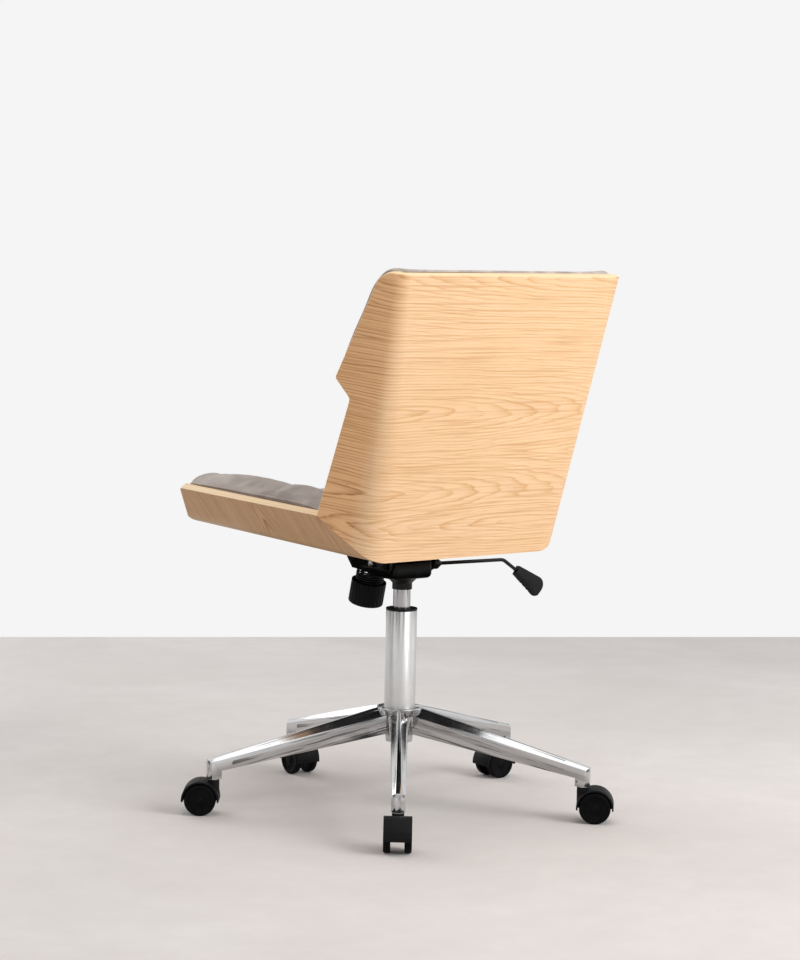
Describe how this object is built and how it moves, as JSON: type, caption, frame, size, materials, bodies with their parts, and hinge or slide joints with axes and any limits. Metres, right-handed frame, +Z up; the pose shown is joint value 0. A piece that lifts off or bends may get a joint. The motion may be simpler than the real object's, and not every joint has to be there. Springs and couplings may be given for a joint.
{
  "type": "desk chair",
  "caption": "Swivel desk chair: bent veneered ply seat and wrap-round back with pads, on a tilting lift column and a five-star castor base.",
  "frame": {"origin": "on the floor, on the axis of the lift column", "axes": "+Z up; the sitter faces -Y; +X is the sitter's left, and the lever is on -X"},
  "size_m": [0.6462, 0.6433, 0.8702],
  "materials": {
    "chromed_steel": "bright chrome plate",
    "column_chrome": "satin chrome plate",
    "cast_aluminium": "polished casting",
    "plated_steel": "zinc plate",
    "black_steel": "black powder coat",
    "spring_steel": "black oiled spring steel",
    "black_nylon": "matt moulded nylon",
    "castor_tread": "smooth hard nylon tread",
    "beech_ply": "clear satin lacquer on light veneer",
    "beech": "plain",
    "velvet": "short dense pile"
  },
  "bodies": {
    "base": {"star_base": "cast_aluminium", "column_outer_tube": "column_chrome", "column_guide_sleeve": "black_nylon", "thrust_bearing": "plated_steel", "castor_a_stem": "plated_steel", "castor_b_stem": "plated_steel", "castor_c_stem": "plated_steel", "castor_d_stem": "plated_steel", "castor_e_stem": "plated_steel"},
    "rod": {"piston_rod": "plated_steel", "piston": "black_nylon", "retaining_clip": "plated_steel"},
    "carrier": {"pressure_tube": "chromed_steel", "cylinder_end_guide": "black_nylon", "tilt_housing": "black_steel", "tilt_pivot_pin": "plated_steel", "tension_spring": "spring_steel", "spring_washer": "plated_steel"},
    "release": {"release_pin": "plated_steel"},
    "seat": {"seat_bracket": "black_steel", "pivot_bushes": "black_nylon", "bracket_screws": "plated_steel", "tee_nuts": "plated_steel", "seat_shell": "beech_ply", "back_shell": "beech_ply", "mitre_dowels": "beech", "seat_board": "beech", "back_board": "beech", "seat_cushion": "velvet", "back_cushion": "velvet", "tension_bolt": "plated_steel"},
    "cup": {"spring_cup": "plated_steel"},
    "knob": {"tension_knob": "black_nylon"},
    "lever_rocker": {"lever_bush": "black_nylon"},
    "lever": {"lever_rod": "black_steel", "lever_grip": "black_nylon"},
    "castor_a": {"castor_a_hood": "black_nylon", "castor_a_axle": "plated_steel"},
    "castor_a_wheel_l": {"castor_a_wheel_left": "castor_tread"},
    "castor_a_wheel_r": {"castor_a_wheel_right": "castor_tread"},
    "castor_b": {"castor_b_hood": "black_nylon", "castor_b_axle": "plated_steel"},
    "castor_b_wheel_l": {"castor_b_wheel_left": "castor_tread"},
    "castor_b_wheel_r": {"castor_b_wheel_right": "castor_tread"},
    "castor_c": {"castor_c_hood": "black_nylon", "castor_c_axle": "plated_steel"},
    "castor_c_wheel_l": {"castor_c_wheel_left": "castor_tread"},
    "castor_c_wheel_r": {"castor_c_wheel_right": "castor_tread"},
    "castor_d": {"castor_d_hood": "black_nylon", "castor_d_axle": "plated_steel"},
    "castor_d_wheel_l": {"castor_d_wheel_left": "castor_tread"},
    "castor_d_wheel_r": {"castor_d_wheel_right": "castor_tread"},
    "castor_e": {"castor_e_hood": "black_nylon", "castor_e_axle": "plated_steel"},
    "castor_e_wheel_l": {"castor_e_wheel_left": "castor_tread"},
    "castor_e_wheel_r": {"castor_e_wheel_right": "castor_tread"}
  },
  "joints": [
    {"name": "seat_swivel", "type": "hinge", "parent": "base", "child": "rod", "pos_m": [0, 0, 0.12], "axis": [0, 0, 1], "continuous": true},
    {"name": "seat_height", "type": "slide", "parent": "rod", "child": "carrier", "axis": [0, 0, 1], "range_m": [0, 0.1]},
    {"name": "seat_tilt", "type": "hinge", "parent": "carrier", "child": "seat", "pos_m": [0, -0.0232, 0.3927], "axis": [-1, 0, 0], "range_deg": [0, 10], "stiffness_Nm_per_rad": 150, "springref_deg": -11.46, "deforming": ["tension_spring"]},
    {"name": "tension_travel", "type": "slide", "parent": "seat", "child": "cup", "axis": [0, 0.2351, 0.972], "range_m": [0, 0.004], "deforming": ["tension_spring"]},
    {"name": "tension_turn", "type": "hinge", "parent": "cup", "child": "knob", "pos_m": [0, -0.086, 0.3552], "axis": [0, 0.2351, 0.972], "range_deg": [0, 960]},
    {"name": "lever_lift", "type": "hinge", "parent": "carrier", "child": "lever_rocker", "pos_m": [-0.03, 0, 0.3894], "axis": [0, 1, 0], "range_deg": [0, 4], "stiffness_Nm_per_rad": 2, "springref_deg": -5.73},
    {"name": "lever_pull", "type": "slide", "parent": "lever_rocker", "child": "lever", "axis": [-0.9998, 0, -0.0192], "range_m": [0, 0.008]},
    {"name": "valve_press", "type": "slide", "parent": "carrier", "child": "release", "axis": [0, 0, -1], "range_m": [0, 0.0025]},
    {"name": "castor_a_swivel", "type": "hinge", "parent": "base", "child": "castor_a", "pos_m": [0.2869, -0.10841, 0.06], "axis": [0, 0, 1], "continuous": true},
    {"name": "castor_a_roll_l", "type": "hinge", "parent": "castor_a", "child": "castor_a_wheel_l", "pos_m": [0.30247, -0.12097, 0.025], "axis": [0.628, 0.7782, 0], "continuous": true},
    {"name": "castor_a_roll_r", "type": "hinge", "parent": "castor_a", "child": "castor_a_wheel_r", "pos_m": [0.30247, -0.12097, 0.025], "axis": [0.628, 0.7782, 0], "continuous": true},
    {"name": "castor_b_swivel", "type": "hinge", "parent": "base", "child": "castor_b", "pos_m": [0.19176, 0.23936, 0.06], "axis": [0, 0, 1], "continuous": true},
    {"name": "castor_b_roll_l", "type": "hinge", "parent": "castor_b", "child": "castor_b_wheel_l", "pos_m": [0.20432, 0.25492, 0.025], "axis": [-0.7782, 0.628, 0], "continuous": true},
    {"name": "castor_b_roll_r", "type": "hinge", "parent": "castor_b", "child": "castor_b_wheel_r", "pos_m": [0.20432, 0.25492, 0.025], "axis": [-0.7782, 0.628, 0], "continuous": true},
    {"name": "castor_c_swivel", "type": "hinge", "parent": "base", "child": "castor_c", "pos_m": [-0.16839, 0.25634, 0.06], "axis": [0, 0, 1], "continuous": true},
    {"name": "castor_c_roll_l", "type": "hinge", "parent": "castor_c", "child": "castor_c_wheel_l", "pos_m": [-0.18277, 0.27024, 0.025], "axis": [-0.6947, -0.7193, 0], "continuous": true},
    {"name": "castor_c_roll_r", "type": "hinge", "parent": "castor_c", "child": "castor_c_wheel_r", "pos_m": [-0.18277, 0.27024, 0.025], "axis": [-0.6947, -0.7193, 0], "continuous": true},
    {"name": "castor_d_swivel", "type": "hinge", "parent": "base", "child": "castor_d", "pos_m": [-0.29583, -0.08093, 0.06], "axis": [0, 0, 1], "continuous": true},
    {"name": "castor_d_roll_l", "type": "hinge", "parent": "castor_d", "child": "castor_d_wheel_l", "pos_m": [-0.27584, -0.08163, 0.025], "axis": [0.0349, 0.9994, 0], "continuous": true},
    {"name": "castor_d_roll_r", "type": "hinge", "parent": "castor_d", "child": "castor_d_wheel_r", "pos_m": [-0.27584, -0.08163, 0.025], "axis": [0.0349, 0.9994, 0], "continuous": true},
    {"name": "castor_e_swivel", "type": "hinge", "parent": "base", "child": "castor_e", "pos_m": [-0.01445, -0.30636, 0.06], "axis": [0, 0, 1], "continuous": true},
    {"name": "castor_e_roll_l", "type": "hinge", "parent": "castor_e", "child": "castor_e_wheel_l", "pos_m": [-0.0134, -0.28639, 0.025], "axis": [-0.9986, 0.0523, 0], "continuous": true},
    {"name": "castor_e_roll_r", "type": "hinge", "parent": "castor_e", "child": "castor_e_wheel_r", "pos_m": [-0.0134, -0.28639, 0.025], "axis": [-0.9986, 0.0523, 0], "continuous": true}
  ],
  "couplings": [
    {"joint": "tension_travel", "follows": "tension_turn", "m_per_rad": 0.0002387},
    {"joint": "valve_press", "follows": "lever_lift", "m_per_rad": 0.031}
  ]
}
